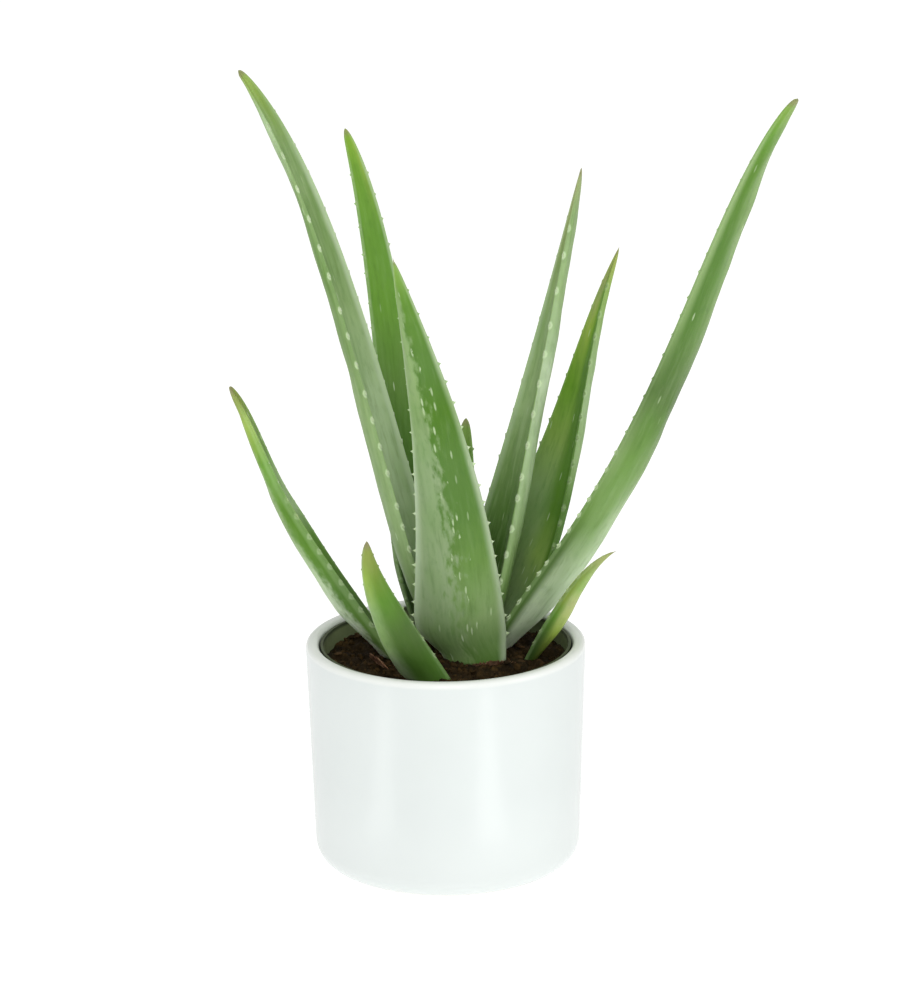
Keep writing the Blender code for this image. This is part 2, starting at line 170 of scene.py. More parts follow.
# Each leaf is a sheet carried along a curved spine and thickened on its lower face, as in the CAD part.
# Millimetres and degrees: lean, arch, curl and bow tilt it outward, side, bend and kick sideways, turn and
# twist roll it, channel and clasp are the arc of its section, waist and drift narrow and shift its foot, and
# pinch takes breadth past pinchAt. teeth and pitch: size and spacing of its teeth beside the others'.
leafForm = dict(
    # thickness of the margin, and the lengths over which things near the foot fade out
    soilTop=101.0, gap=0.3, edge=0.9, footCut=35.0, clasp=30.0, thin=22.0, turnOver=25.0, pinchOver=0.04,
    # teeth: spacing at foot and tip, fewest in a row, lengths left bare, the last two rows, drift of a place
    pitchFoot=8.6, pitchTip=14.0, fewest=9.0, bareFoot=5.0, bareTip=9.0, bareFrom=0.93, lastRows=(5.0, 1.8),
    wander=0.16,
    # teeth: breadth, height and its spread, share of it lost toward the tip, lean toward the tip, flatness
    toothBase=3.0, toothHeight=2.2, spread=(0.75, 1.15), toothLoss=0.55, hook=0.35, flat=0.36, seed=11,
    # mesh: steps of the spine, distance between rows, how they close up and how near the tip the last is,
    # points across each face, swell of the margin, half breadth of a keel
    spineSteps=160, rowStep=1.25, closing=1.25, lastRow=0.3, upper=22, lower=30, rounding=0.5, keelHalf=0.14)
usualLeaf = dict(curl=0, bow=0, bend=0, kick=0, turn=0, twist=0, foot=20, waist=0, drift=0, pinch=0,
                 pinchAt=0.5, teeth=1, pitch=1)  # for what a leaf's own row leaves out
leaves = {
    "leaf_front_broad": dict(
        root=(7, -6), faces=262, length=219, lean=6, arch=14.9, curl=-7, side=1.1, bend=-16.5, kick=5.1,
        turn=20.4, twist=-28.4, width=50.3, taper=0.87, thick=9.5, channel=72, clasp=75,
        foot=10.8, waist=0.36, drift=-6.5),
    "leaf_left_tall": dict(
        root=(-5, 13), faces=162, length=300.5, lean=16.3, arch=-2.7, curl=15, side=-2.4, bend=1.2,
        kick=18.5, turn=4.9, twist=-13.7, width=37.8, taper=0.47, thick=6, channel=98, clasp=80,
        foot=35, waist=0.55, drift=8.5, pitch=1.3),
    "leaf_back_left": dict(
        root=(-10, 26), faces=130, length=254, lean=14.4, arch=0.9, curl=11.1, side=-3.2, bend=-4.2,
        kick=10.1, turn=1.3, twist=-16.8, width=30.4, taper=0.52, thick=6.5, channel=50, clasp=50,
        foot=28, waist=0.35, drift=3.2),
    "leaf_middle": dict(
        root=(4, 8), faces=85, length=116.5, lean=3.5, arch=3, side=-3,
        width=23.5, taper=0.52, thick=6, channel=60, clasp=60, waist=0.24),
    "leaf_right_tall": dict(
        root=(13, 12), faces=25, length=242, lean=15.5, arch=-3, curl=-0.5, side=-1, bend=0.5, kick=-0.5,
        turn=13, twist=-37, width=37, taper=0.56, thick=8.5, channel=69, clasp=80, waist=0.38, pitch=1.3),
    "leaf_back_right": dict(
        root=(17, 29), faces=50, length=207.5, lean=22.5, arch=-26.5, curl=26, side=-21.5, bend=22.5,
        kick=-14.5, turn=9, twist=-46.5, width=46.5, taper=0.78, thick=9.7, channel=40.5, clasp=45,
        waist=0.46),
    "leaf_right_arching": dict(
        root=(27.5, 14), faces=-25, length=331.8, lean=40.4, arch=-35.4, curl=28.8, side=3.4, bend=-12.6,
        kick=0.6, turn=-19.9, twist=4.6, width=32.6, taper=0.37, thick=5, channel=70.5, clasp=60,
        waist=0.25),
    "leaf_right_short": dict(
        root=(42, -2), faces=-22, length=87.3, lean=35.6, arch=-11.7, curl=39.4, side=-12.1, bend=-6.1,
        kick=4.6, turn=-37.9, twist=0.3, width=18.3, taper=0.77, thick=3.4, channel=61.5, clasp=70,
        waist=0.2, teeth=0.5),
    "leaf_left_low": dict(
        root=(-27, 10), faces=183, length=179.5, lean=35.9, arch=-56.5, curl=49.6, bow=14, side=6.9,
        bend=12.9, kick=21.3, turn=8.9, twist=-20, width=25.5, taper=0.35, thick=8.8, channel=91.5, clasp=50,
        waist=0.1, pinch=0.42, pinchAt=0.52, teeth=0.55),
    "leaf_front_short": dict(
        root=(-10, -31), faces=250, length=87, lean=26, arch=-3, curl=-6, side=-19, bend=9.5,
        kick=18.5, turn=20, twist=11, width=23.5, taper=0.65, thick=8.5, channel=61, clasp=50, teeth=0.5),
}
keels = {"leaf_front_broad": (-0.3, 1.3, 0.8)}  # share across at the foot, its change to the tip, height
swells = ((17.0, 0.28), (6.0, 0.07))  # size and height of the soft swellings of the flesh


def leafAxes(leaf, t):
    # along the spine, across the sheet and up from its face; tilt, sway and roll are sums of curves of t
    bow = leaf["bow"] * np.sin(np.pi * t)
    tilt = leaf["lean"] + leaf["arch"] * t + leaf["curl"] * t**4 + bow
    sway = leaf["side"] + leaf["bend"] * t + leaf["kick"] * t**4
    roll = leaf["turn"] * (1.0 - np.exp(-t * leaf["length"] / leafForm["turnOver"])) + leaf["twist"] * t
    tilt, sway, roll = (np.radians(angle)[:, None] for angle in (tilt, sway, roll))
    facing = math.radians(leaf["faces"])
    out = np.array([math.cos(facing), math.sin(facing), 0.0])
    sideways = np.array([-math.sin(facing), math.cos(facing), 0.0])
    up = np.array([0.0, 0.0, 1.0])
    along = np.cos(sway) * (np.sin(tilt) * out + np.cos(tilt) * up) + np.sin(sway) * sideways
    face = np.sin(tilt) * up - np.cos(tilt) * out
    across = np.cross(along, face)
    return along, across * np.cos(roll) - face * np.sin(roll), face * np.cos(roll) + across * np.sin(roll)


def leafSpine(leaf, t):
    # the sum of the directions along it, from the root up
    count = leafForm["spineSteps"]
    fine = np.linspace(0.0, 1.0, count + 1)
    along = leafAxes(leaf, fine)[0]
    steps = (along[1:] + along[:-1]) * 0.5 * leaf["length"] / count
    path = np.vstack([np.zeros(3), np.cumsum(steps, axis=0)])
    path += [*leaf["root"], leafForm["soilTop"] + leafForm["gap"]]
    return together(*(np.interp(t, fine, part) for part in path.T))


def nearFoot(leaf, rows):
    # 1 at the soil, falling to 0 along the blade
    return np.exp(-(rows / leaf["foot"])**2)


def leafBreadth(leaf, rows):
    # a power of the distance from the tip, less the waist at the foot and, past its place, the pinch
    t = rows / leaf["length"]
    pinch = leaf["pinch"] / (1.0 + np.exp((leaf["pinchAt"] - t) / leafForm["pinchOver"]))
    waist = leaf["waist"] * nearFoot(leaf, rows)
    return leaf["width"] * (1.0 - t)**leaf["taper"] * (1.0 - waist) * (1.0 - pinch)


def leafSurface(leaf, rows, share, depth, inset=0.0, puff=0.0):
    # points at a share across (-1 to 1) and a depth from the upper face (0) to the lower (1) in each row: an
    # arc of the channel's angle, pushed out by the margin's thickness and an ellipse of the leaf's thickness
    t = rows / leaf["length"]
    along, across, face = leafAxes(leaf, t)
    aside = across * np.array([1.0, 1.0, 0.0]) * (leaf["drift"] * nearFoot(leaf, rows))[:, None]
    spine = leafSpine(leaf, t) + aside
    breadth = np.maximum(leafBreadth(leaf, rows) - inset, 0.02)
    arc = leaf["channel"] + (leaf["clasp"] - leaf["channel"]) * np.exp(-(rows / leafForm["clasp"])**1.5)
    arc = np.radians(arc)[:, None]
    left = leaf["length"] - rows
    thick = leaf["thick"] * (1.0 - t)**0.5 * (1.0 - 0.5 * np.exp(-(rows / leafForm["thin"])**2))
    thick *= left / (left + 1.0)
    edge = np.minimum(leafForm["edge"], 0.3 * breadth)[:, None]
    radius = breadth[:, None] / arc
    angle = arc * 0.5 * share
    dome = np.sqrt(1.0 - np.clip(share, -1.0, 1.0)**2)
    offset = edge * depth + np.maximum(thick[:, None] - edge, 0.0) * depth * dome + puff
    u = (radius + offset) * np.sin(angle)
    v = radius - (radius + offset) * np.cos(angle)
    points = spine[:, None] + u[..., None] * across[:, None] + v[..., None] * face[:, None]
    level = np.clip(1.0 - rows / leafForm["footCut"], 0.0, 1.0)[:, None]
    rise = (points[..., 2] - spine[:, None, 2]) * level / np.maximum(along[:, None, 2], 0.3)
    return points - rise[..., None] * along[:, None]


def toothPlaces(name, leaf):
    # margin, distance along and height of every tooth, drawn in the same order as in the CAD part
    form, length, rows = leafForm, leaf["length"], [0.0]
    while True:
        pitch = form["pitchFoot"] + (form["pitchTip"] - form["pitchFoot"]) * rows[-1] / length
        pitch = min(pitch, length / form["fewest"]) * leaf["pitch"]
        if rows[-1] + pitch > length - form["bareTip"]:
            break
        rows.append(rows[-1] + pitch)
    rows += [length - left for left in form["lastRows"]]
    chance = np.random.default_rng(form["seed"] + nameNumber(name))
    places = []
    for margin in (-1.0, 1.0):
        for low, high in zip(rows[:-2], rows[1:-1]):
            place = 0.5 + chance.uniform(-form["wander"], form["wander"])
            height = form["toothHeight"] * chance.uniform(*form["spread"]) * leaf["teeth"]
            share = 0.5 * (low + high) / length
            if low >= form["bareFoot"] and share <= form["bareFrom"]:
                height *= 1.0 - form["toothLoss"] * share
                places.append((margin, low + place * (high - low), height))
    return np.array(places)


def buildTeeth(leaf, places):
    # cones on the margin, flared below and hooked toward the tip: radius (1 - h)^1.5 at share h of height
    sides, steps = 7, np.array([-0.45, 0.0, 0.2, 0.45, 0.75])
    margin, rows, height = places.T
    t = rows / leaf["length"]
    middle = np.empty((len(rows), 3))
    for side in (-1.0, 1.0):
        here = margin == side
        middle[here] = leafSurface(leaf, rows[here], np.array([side]), np.array([0.5]))[:, 0]
    along, across, _ = leafAxes(leaf, t)
    outward = across * margin[:, None]
    normal = np.cross(along, outward)
    angle = turnRound(sides)
    taper = (1.0 - np.maximum(steps, 0.0))**1.5 + np.where(steps < 0, 0.15, 0.0)
    half = 0.5 * leafForm["toothBase"] * (height / leafForm["toothHeight"])**0.5
    reach = (steps * height[:, None])[..., None, None]
    hook = (np.maximum(steps, 0.0)**1.4 * leafForm["hook"] * height[:, None])[..., None, None]
    wide = (taper * half[:, None])[..., None, None] * np.cos(angle)[:, None]
    deep = (taper * leafForm["flat"] * half[:, None])[..., None, None] * np.sin(angle)[:, None]
    rings = (middle[:, None, None] + outward[:, None, None] * reach + along[:, None, None] * (wide + hook)
             + normal[:, None, None] * deep)
    feet = middle + outward * (steps[0] * height)[:, None]
    tips = middle + outward * height[:, None] + along * (leafForm["hook"] * height)[:, None]
    points = np.concatenate([rings.reshape(len(rows), -1, 3), feet[:, None], tips[:, None]], axis=1)
    block = points.shape[1]
    faces = [[corner + number * block for corner in reversed(face)]
             for number in range(len(rows)) for face in closedFaces(len(steps), sides)]
    # a nearest tooth at -1 mm marks the teeth themselves
    place = together(margin[:, None], rows[:, None], np.zeros(block))
    size = together(leafBreadth(leaf, rows)[:, None] * 0.5, t[:, None], np.full(block, -1.0))
    return points.reshape(-1, 3), faces, place.reshape(-1, 3), size.reshape(-1, 3)


def buildLeaf(name, leaf, material):
    # the loop across: upper face, rounded margin, lower face, rounded margin; rows close up toward the tip
    length, seed = leaf["length"], nameNumber(name)
    even = np.linspace(0.0, 1.0, int(length / leafForm["rowStep"]))
    rows = length * (1.0 - (1.0 - even)**leafForm["closing"])
    rows[-1] = length - leafForm["lastRow"]
    t = (rows / length)[:, None]
    upper = np.sin(np.linspace(-0.5, 0.5, leafForm["upper"]) * np.pi)
    lower = np.cos(np.linspace(0.0, 1.0, leafForm["lower"]) * np.pi)
    bead = np.array([0.25, 0.5, 0.75])
    share = np.concatenate([upper, np.ones(3), lower, -np.ones(3)])
    depth = np.concatenate([np.zeros(leafForm["upper"]), bead, np.ones(leafForm["lower"]), bead[::-1]])
    bulge = np.sin(np.pi * depth) * leafForm["rounding"] * np.sign(share) * (np.abs(share) == 1.0)
    half = leafBreadth(leaf, rows)[:, None] * 0.5
    # the swellings, and on the broad leaf a low keel that wanders across
    spot = together(share * 14.0, rows[:, None] * 0.35, depth * 30.0)
    fade = np.clip(rows / 40.0, 0.0, 1.0)[:, None] * np.clip(half / 6.0, 0.0, 1.0) * np.sqrt(1.0 - share**2)
    puff = sum(ripple(spot, wide, seed + turn) * high for turn, (wide, high) in enumerate(swells)) * fade
    start, slope, height = keels.get(name, (0.0, 0.0, 0.0))
    keel = np.exp(-((share - start - slope * t**2) / leafForm["keelHalf"])**2)
    puff = (puff + height * keel * fade * depth) * np.where(depth > 0.5, 1.0, -1.0)
    widened = share + bulge / np.maximum(half, 0.5)
    grid = leafSurface(leaf, rows, widened, depth, 2.0 * leafForm["rounding"] - 0.1, puff)
    # how far along the margin the nearest tooth is, for the pale horn round it
    teeth = toothPlaces(name, leaf)
    away = [np.abs(rows[:, None] - teeth[teeth[:, 0] == side, 1]).min(axis=1) for side in (-1.0, 1.0)]
    toothNear = np.where(share < 0.0, away[0][:, None], away[1][:, None])
    place = together(share, rows[:, None], depth).reshape(-1, 3)
    size = together(half, t, toothNear).reshape(-1, 3)
    tip = leafSpine(leaf, np.array([1.0 - 0.1 / length]))
    points, faces = closedMesh(grid, grid[0].mean(axis=0), tip)
    place = np.vstack([place, [0.0, 0.0, 0.5], [0.0, length, 0.5]])
    size = np.vstack([size, [half[0, 0], 0.0, 9.0], [0.2, 1.0, 9.0]])
    toothPoints, toothFaces, toothPlace, toothSize = buildTeeth(leaf, teeth)
    faces += [[corner + len(points) for corner in face] for face in toothFaces]
    return addPiece("aloe_" + name, np.vstack([points, toothPoints]), faces, material, name, {
        "leafPlace": np.vstack([place, toothPlace]), "leafSize": np.vstack([size, toothSize])})


# Greens of aloe skin: the deep and shaded, the fresh without wax, the waxy blue-grey ones and the yellow
# ones of tips and young leaves. marks: the tones of what lies over them.
greens = dict(
    shade="3f5a24", foot="527034", moss="557c31", bottle="4a7612", deep="5b862a", grass="6a8f43",
    fresh="6a9a34", spring="78a533", sage="7f9d5f", waxy="8ba86c", pale="99b57c", frost="aec698",
    dove="92a97c", mist="c3d6b2", chalk="dae7cd", meadow="8fae58", olive="7e9038", lime="9cb64e",
    straw="abb376")
marks = dict(mottle="3f6a2a", rubbed="5d8c32", bloom="adc792", fibre="4a7024", edge="bfdca2", horn="d2e6ba",
             dry="8d8663")

# upper, lower: a face's greens from foot to tip along its -1 side and its +1 side. Besides the skin's own
# greens they hold painted light and shade: paler as painted light on sides that face the light and at some
# feet, darker as painted shade on shaded sides, in channels and at most feet. Meet: the share across where
# these meet at the foot, its change to the tip and half the breadth of the change, in part the painted line
# between a lit and a shaded side; scuff mottles that line. turn: the depth in the margin where the lower
# face's greens begin. flecks: how rare they are, how much commoner near a line, and how far that is from
# where the greens meet. horn: how pale the teeth of the two margins are, and the t where they fade. rim: a
# strip along the margins with its greens, breadth, two strengths and strength on the lower face, painted
# light where pale and painted shade where dark. edge: how pale the two margins' thin edge is. seam: side,
# green, place, half breadth and strength of a painted shadow just inside one margin, beside its teeth. wax
# and gloss: how strong its bloom and its shine are. tip: tone of the last centimetres. dry: how dried the
# last millimetres are.
usualLook = dict(
    upperMeet=(0.0, 0.0, 0.6), lowerMeet=(0.0, 0.0, 0.6), scuff=0.1, turn=0.3, flecks=(0.93, 0.0, 0.0),
    rim=({0: "waxy"}, 1.0, 0.0, 0.0, 1.0), edge=(0.15, 0.15), wax=1.0, gloss=0.35, dry=0.7)
looks = {
    "leaf_front_broad": dict(
        upper=({0: "moss", 0.5: "grass", 1: "fresh"}, {0: "moss", 0.6: "sage", 1: "fresh"}),
        lower=({0: "moss", 0.12: "waxy", 0.25: "grass", 0.37: "moss", 0.5: "moss", 0.62: "bottle",
                0.74: "moss", 0.86: "deep", 1: "fresh"},
               {0: "sage", 0.12: "dove", 0.5: "dove", 0.64: "waxy", 0.88: "waxy", 1: "spring"}),
        lowerMeet=(0.0, 0.25, 0.2), scuff=1.2, flecks=(0.91, 0.75, 0.15), horn=(0.9, 0.9, 0.62),
        rim=({0.45: "mist", 0.55: "frost", 0.62: "pale", 0.74: "frost", 0.9: "pale"},
             7.0, 0.85, 0.9, 1.0), edge=(0.3, 0.7), wax=0.3, tip="84a848"),
    "leaf_left_tall": dict(
        upper=({0: "sage", 0.25: "waxy", 0.38: "pale", 0.5: "waxy", 0.62: "sage", 0.75: "sage",
                0.92: "waxy", 1: "lime"},
               {0: "waxy", 0.2: "frost", 0.42: "frost", 0.58: "waxy", 0.72: "sage", 0.85: "sage",
                1: "lime"}),
        lower=({0: "sage", 0.25: "pale", 0.5: "sage", 0.65: "grass", 0.8: "waxy", 0.9: "frost", 1: "sage"},
               {0: "grass", 0.25: "waxy", 0.5: "sage", 0.65: "grass", 0.8: "waxy", 1: "sage"}),
        upperMeet=(-0.1, 0.0, 0.5), seam=(-1.0, "foot", 2.0, 1.3, 1.0), horn=(0.8, 0.4, 0.9),
        rim=({0.78: "mist", 0.9: "waxy"}, 3.4, 0.0, 0.75, 1.0), tip="9bb454"),
    "leaf_back_left": dict(
        upper=({0: "shade", 0.15: "moss", 0.4: "moss", 0.5: "grass", 0.65: "fresh", 0.8: "fresh",
                1: "spring"},
               {0: "shade", 0.15: "foot", 0.4: "moss", 0.52: "grass", 0.65: "fresh", 0.8: "fresh",
                1: "lime"}),
        lower=({0: "shade", 0.4: "grass", 0.8: "fresh", 1: "spring"},
               {0: "foot", 0.5: "grass", 0.8: "fresh", 1: "lime"}),
        upperMeet=(0.4, 0.0, 0.3), flecks=(0.94, 0.1, 0.0), wax=0.35, horn=(0.2, 0.3, 1.0),
        rim=({0: "frost"}, 1.6, 0.2, 0.6, 1.0), gloss=0.3, tip="86ad34"),
    "leaf_middle": dict(
        upper=({0: "shade", 0.6: "moss", 1: "grass"}, {0: "shade", 0.6: "moss", 1: "deep"}),
        lower=({0: "moss", 1: "fresh"}, {0: "moss", 1: "grass"}), wax=0.4, horn=(0.35, 0.35, 0.8),
        tip="7d9a4a"),
    "leaf_right_tall": dict(
        upper=({0: "shade", 0.2: "foot", 0.38: "sage", 0.5: "pale", 0.7: "waxy", 1: "straw"},
               {0: "shade", 0.24: "foot", 0.4: "grass", 0.6: "sage", 0.8: "waxy", 1: "straw"}),
        lower=({0: "shade", 0.22: "grass", 0.4: "waxy", 0.6: "pale", 1: "waxy"},
               {0: "grass", 0.24: "waxy", 0.38: "frost", 0.6: "mist", 0.75: "pale", 0.88: "waxy",
                1: "sage"}),
        seam=(1.0, "foot", 1.4, 1.0, 0.7), horn=(0.2, 0.8, 0.93), rim=({0: "mist"}, 4.0, 0.4, 0.0, 1.0),
        turn=0.5, tip="a5ac78"),
    "leaf_back_right": dict(
        upper=({0.25: "waxy", 0.38: "pale", 0.52: "meadow", 0.65: "spring", 0.8: "lime", 0.9: "straw"},
               {0: "frost", 0.15: "waxy", 0.25: "meadow", 0.36: "deep", 0.7: "deep", 0.85: "spring",
                1: "lime"}),
        lower=({0: "foot", 0.4: "grass", 0.7: "sage", 1: "lime"},
               {0: "foot", 0.25: "bottle", 0.4: "bottle", 0.5: "pale", 0.62: "frost", 0.75: "pale",
                0.88: "meadow", 1: "lime"}),
        upperMeet=(0.15, 0.0, 0.35), wax=0.0, flecks=(0.92, 0.0, 0.0), horn=(0.2, 0.25, 1.0),
        rim=({0: "bottle"}, 6.0, 0.0, 0.9, 0.0), gloss=0.1, tip="a9ae5e"),
    "leaf_right_arching": dict(
        upper=({0: "sage", 0.12: "waxy", 0.28: "sage", 0.42: "grass", 0.52: "shade", 0.65: "grass",
                0.85: "fresh", 1: "lime"},
               {0: "sage", 0.15: "waxy", 0.28: "sage", 0.38: "waxy", 0.5: "foot", 0.62: "sage",
                0.75: "frost", 0.9: "pale", 1: "lime"}),
        lower=({0: "chalk", 0.14: "mist", 0.27: "frost", 0.36: "sage", 0.48: "foot", 0.62: "sage",
                0.75: "waxy"},
               {0: "chalk", 0.12: "mist", 0.26: "sage", 0.38: "grass", 0.5: "foot", 0.62: "moss",
                0.75: "moss", 0.88: "deep", 1: "fresh"}),
        upperMeet=(0.45, 0.0, 0.35), lowerMeet=(0.05, 0.0, 0.5), horn=(0.25, 0.7, 0.36), wax=0.3,
        tip="86a648",
        rim=({0.2: "foot", 0.28: "grass", 0.38: "sage", 0.5: "foot", 0.62: "sage", 0.75: "waxy",
              0.88: "waxy", 1: "fresh"}, 7.0, 0.0, 1.0, 1.0)),
    "leaf_right_short": dict(
        upper=({0: "shade", 0.5: "olive", 1: "lime"},) * 2,
        lower=({0: "olive", 0.25: "lime", 0.5: "straw", 0.62: "meadow", 1: "straw"},
               {0: "shade", 0.22: "foot", 0.4: "deep", 0.52: "olive", 0.7: "olive", 1: "straw"}),
        lowerMeet=(0.45, 0.0, 0.35), wax=0.2, flecks=(0.96, 0.0, 0.0), horn=(0.2, 0.2, 1.0),
        rim=({0: "straw"}, 1.2, 0.8, 0.0, 1.0), tip="9aa060"),
    "leaf_left_low": dict(
        upper=({0: "sage", 0.25: "grass", 0.4: "spring", 0.5: "lime", 0.62: "frost", 0.75: "pale",
                0.88: "lime", 1: "olive"},
               {0: "foot", 0.4: "grass", 0.5: "frost", 0.7: "sage", 1: "olive"}),
        lower=({0.12: "grass", 0.25: "moss", 0.4: "deep", 0.55: "deep", 0.7: "fresh", 0.85: "lime",
                1: "olive"},
               {0.15: "chalk", 0.27: "mist", 0.36: "frost", 0.5: "sage", 0.65: "pale", 0.85: "lime",
                1: "olive"}),
        lowerMeet=(-0.75, 0.35, 0.2), scuff=0.6, flecks=(0.9, 0.0, 0.0), wax=0.35, gloss=0.25,
        edge=(0.2, 0.15), seam=(-1.0, "moss", 1.2, 1.0, 0.6), horn=(0.35, 0.2, 0.55), tip="87903c"),
    "leaf_front_short": dict(
        upper=({0: "foot", 1: "olive"},) * 2,
        lower=({0.14: "moss", 0.27: "foot", 0.4: "foot", 0.62: "deep", 0.85: "olive"},
               {0.15: "frost", 0.3: "waxy", 0.4: "sage", 0.55: "waxy", 0.78: "lime", 1: "olive"}),
        lowerMeet=(0.3, 0.0, 0.4), wax=0.2, flecks=(0.97, 0.0, 0.0), horn=(0.35, 0.15, 0.7), gloss=0.25,
        rim=({0: "frost"}, 3.0, 0.0, 0.5, 1.0), tip="8f9a50", dry=0.9),
}

# the skin's marks in millimetres: the cell that holds one fleck, the pale edge from its start to its full
# strength, the horn of a tooth along and inward, and the same for the yellow and the dry part of a tip
skinForm = dict(fleckCell=(2.2, 13.0), edge=(1.2, 0.3), hornAlong=2.6, hornInward=0.5, yellow=(24.0, 5.0),
                dried=(6.0, 1.5))


def greenStops(ramp):
    # the places of a ramp with the colours of its greens
    return [(place, tone(greens[green])) for place, green in ramp.items()]


def aloeSkin(name, look, length):
    # aloe epidermis as it grew: waxy and half matt, blue-grey with wax and green where that is rubbed off;
    # fine fibres run along it, with pale flecks and horn-coloured teeth, and a little light enters the flesh
    # its greens, margin strips and the line inside one margin also carry painted light and shade
    form = skinForm
    skin, add = newMaterial(name)
    place = add("Attribute", output=1, attribute_name="leafPlace")
    size = add("Attribute", output=1, attribute_name="leafSize")
    share, along, under = add("SeparateXYZ", [place], None)
    half, t, toothNear = add("SeparateXYZ", [size], None)
    across = add("Math", [share, half], **times)
    faceShift = add("Math", [under, 60.0, float(nameNumber(name) % 97)], **timesPlus)

    # noise in millimetres of skin, drawn out along the leaf: patches of 15 by 44 mm, streaks of 2 by 20 mm,
    # grain of 0.6 by 0.9 mm, mottles of 2 by 7 mm
    noises = []
    for stretch, scale, detail in ((0.35, 0.065, 3.0), (0.1, 0.5, 3.0), (0.7, 1.6, 2.0), (0.32, 0.45, 4.0)):
        drawn = add("Math", [along, stretch], **times)
        spot = add("CombineXYZ", [across, drawn, faceShift])
        noises.append(add("TexNoise", {"Vector": spot, "Scale": scale, "Detail": detail, "Roughness": 0.55}))
    patches, streaks, grain, mottles = noises
    ragged = add("Math", [patches, 0.5], **minus)
    mottled = add("Math", [mottles, 0.5], **minus)

    # the two faces, each with its own greens on either side; with them comes painted light and shade
    faceTones = []
    for face in ("upper", "lower"):
        sides = [add("ValToRGB", [t], stops=greenStops(side)) for side in look[face]]
        start, slope, blur = look[face + "Meet"]
        line = add("Math", [t, slope, start], **timesPlus)
        offset = add("Math", [share, line], **minus)
        offset = add("Math", [ragged, 0.3, offset], **timesPlus)
        offset = add("Math", [mottled, look["scuff"], offset], **timesPlus)
        side = add("MapRange", [offset, -blur, blur], **soft)
        faceTones.append(add("Mix", {0: side, 6: sides[0], 7: sides[1]}, **blend))
    turn = look["turn"]
    isLower = add("MapRange", [under, turn, turn + 0.4], **soft)
    colour = add("Mix", {0: isLower, 6: faceTones[0], 7: faceTones[1]}, **blend)

    # deeper mottles, patches where the wax is rubbed off, streaks of its bloom and dark fibres: each grows
    # as its noise goes from one value to another
    for noise, first, last, strength, mark in (
            (mottles, 0.5, 0.3, 0.16, "mottle"), (patches, 0.42, 0.72, 0.32, "rubbed"),
            (streaks, 0.48, 0.78, 0.32 * look["wax"], "bloom"), (streaks, 0.5, 0.25, 0.28, "fibre")):
        amount = add("MapRange", {0: noise, 1: first, 2: last, 4: strength}, **soft)
        colour = add("Mix", {0: amount, 6: colour, 7: tone(marks[mark])}, **blend)

    # flecks of 1 by 4 mm: one in each cell of a lattice stretched along the leaf, most of them left out, and
    # commoner near a line beside the one where the lower face's greens meet
    rare, crowd, aside = look["flecks"]
    beside = add("Math", [offset, aside], operation="ADD")
    beside = add("Math", [beside], operation="ABSOLUTE")
    beside = add("MapRange", [beside, 0.14, 0.04], **soft)
    cellAcross = add("Math", [across, form["fleckCell"][0]], **over)
    cellAcross = add("Math", [cellAcross, faceShift], operation="ADD")
    cellAlong = add("Math", [along, form["fleckCell"][1]], **over)
    lattice = add("CombineXYZ", [cellAcross, cellAlong])
    cells = add("TexVoronoi", {"Vector": lattice, "Scale": 1.0, "Randomness": 0.9}, None,
                voronoi_dimensions="2D")
    draw = add("SeparateColor", [cells["Color"]])
    draw = add("Math", [beside, crowd, draw], **timesPlus)
    chosen = add("MapRange", [draw, rare, rare + 0.1], **soft)
    dot = add("MapRange", [cells["Distance"], 0.22, 0.1], **soft)
    fleck = add("Math", [dot, chosen], **times)
    strength = add("Math", [fleck, 0.6], **times)
    colour = add("Mix", {0: strength, 6: colour, 7: tone(marks["horn"])}, **blend)

    # margins: a strip of other greens, painted light where pale and painted shade where dark, the thin pale
    # edge, a painted shadow just inside one margin, and horn round each tooth
    inward = add("Math", [share], operation="ABSOLUTE")
    inward = add("Math", [1.0, inward], **minus)
    inward = add("Math", [inward, half], **times)
    isPlus = add("MapRange", [share, -0.2, 0.2])
    rimGreens, rimWide, rimMinus, rimPlus, rimLower = look["rim"]
    rimHere = add("MapRange", {0: isPlus, 3: rimMinus, 4: rimPlus})
    rimMost = add("Math", [half, 0.35], **times)
    rimWide = add("Math", [rimMost, rimWide], operation="MINIMUM")
    rim = add("Math", [inward, rimWide], **over)
    rim = add("MapRange", [rim, 1.0, 0.2], **soft)
    rim = add("Math", [rim, rimHere], **times)
    rimFace = add("MapRange", {0: isLower, 3: 1.0, 4: rimLower})
    rim = add("Math", [rim, rimFace], **times)
    # the strip's greens: painted light where they are pale, painted shade where they are dark
    rimLightAndShade = add("ValToRGB", [t], stops=greenStops(rimGreens))
    colour = add("Mix", {0: rim, 6: colour, 7: rimLightAndShade}, **blend)
    edgeMinus, edgePlus = look["edge"]
    edgeHere = add("MapRange", {0: isPlus, 3: edgeMinus, 4: edgePlus})
    edge = add("MapRange", [inward, form["edge"][0], form["edge"][1]], **soft)
    edge = add("Math", [edge, edgeHere], **times)
    colour = add("Mix", {0: edge, 6: colour, 7: tone(marks["edge"])}, **blend)
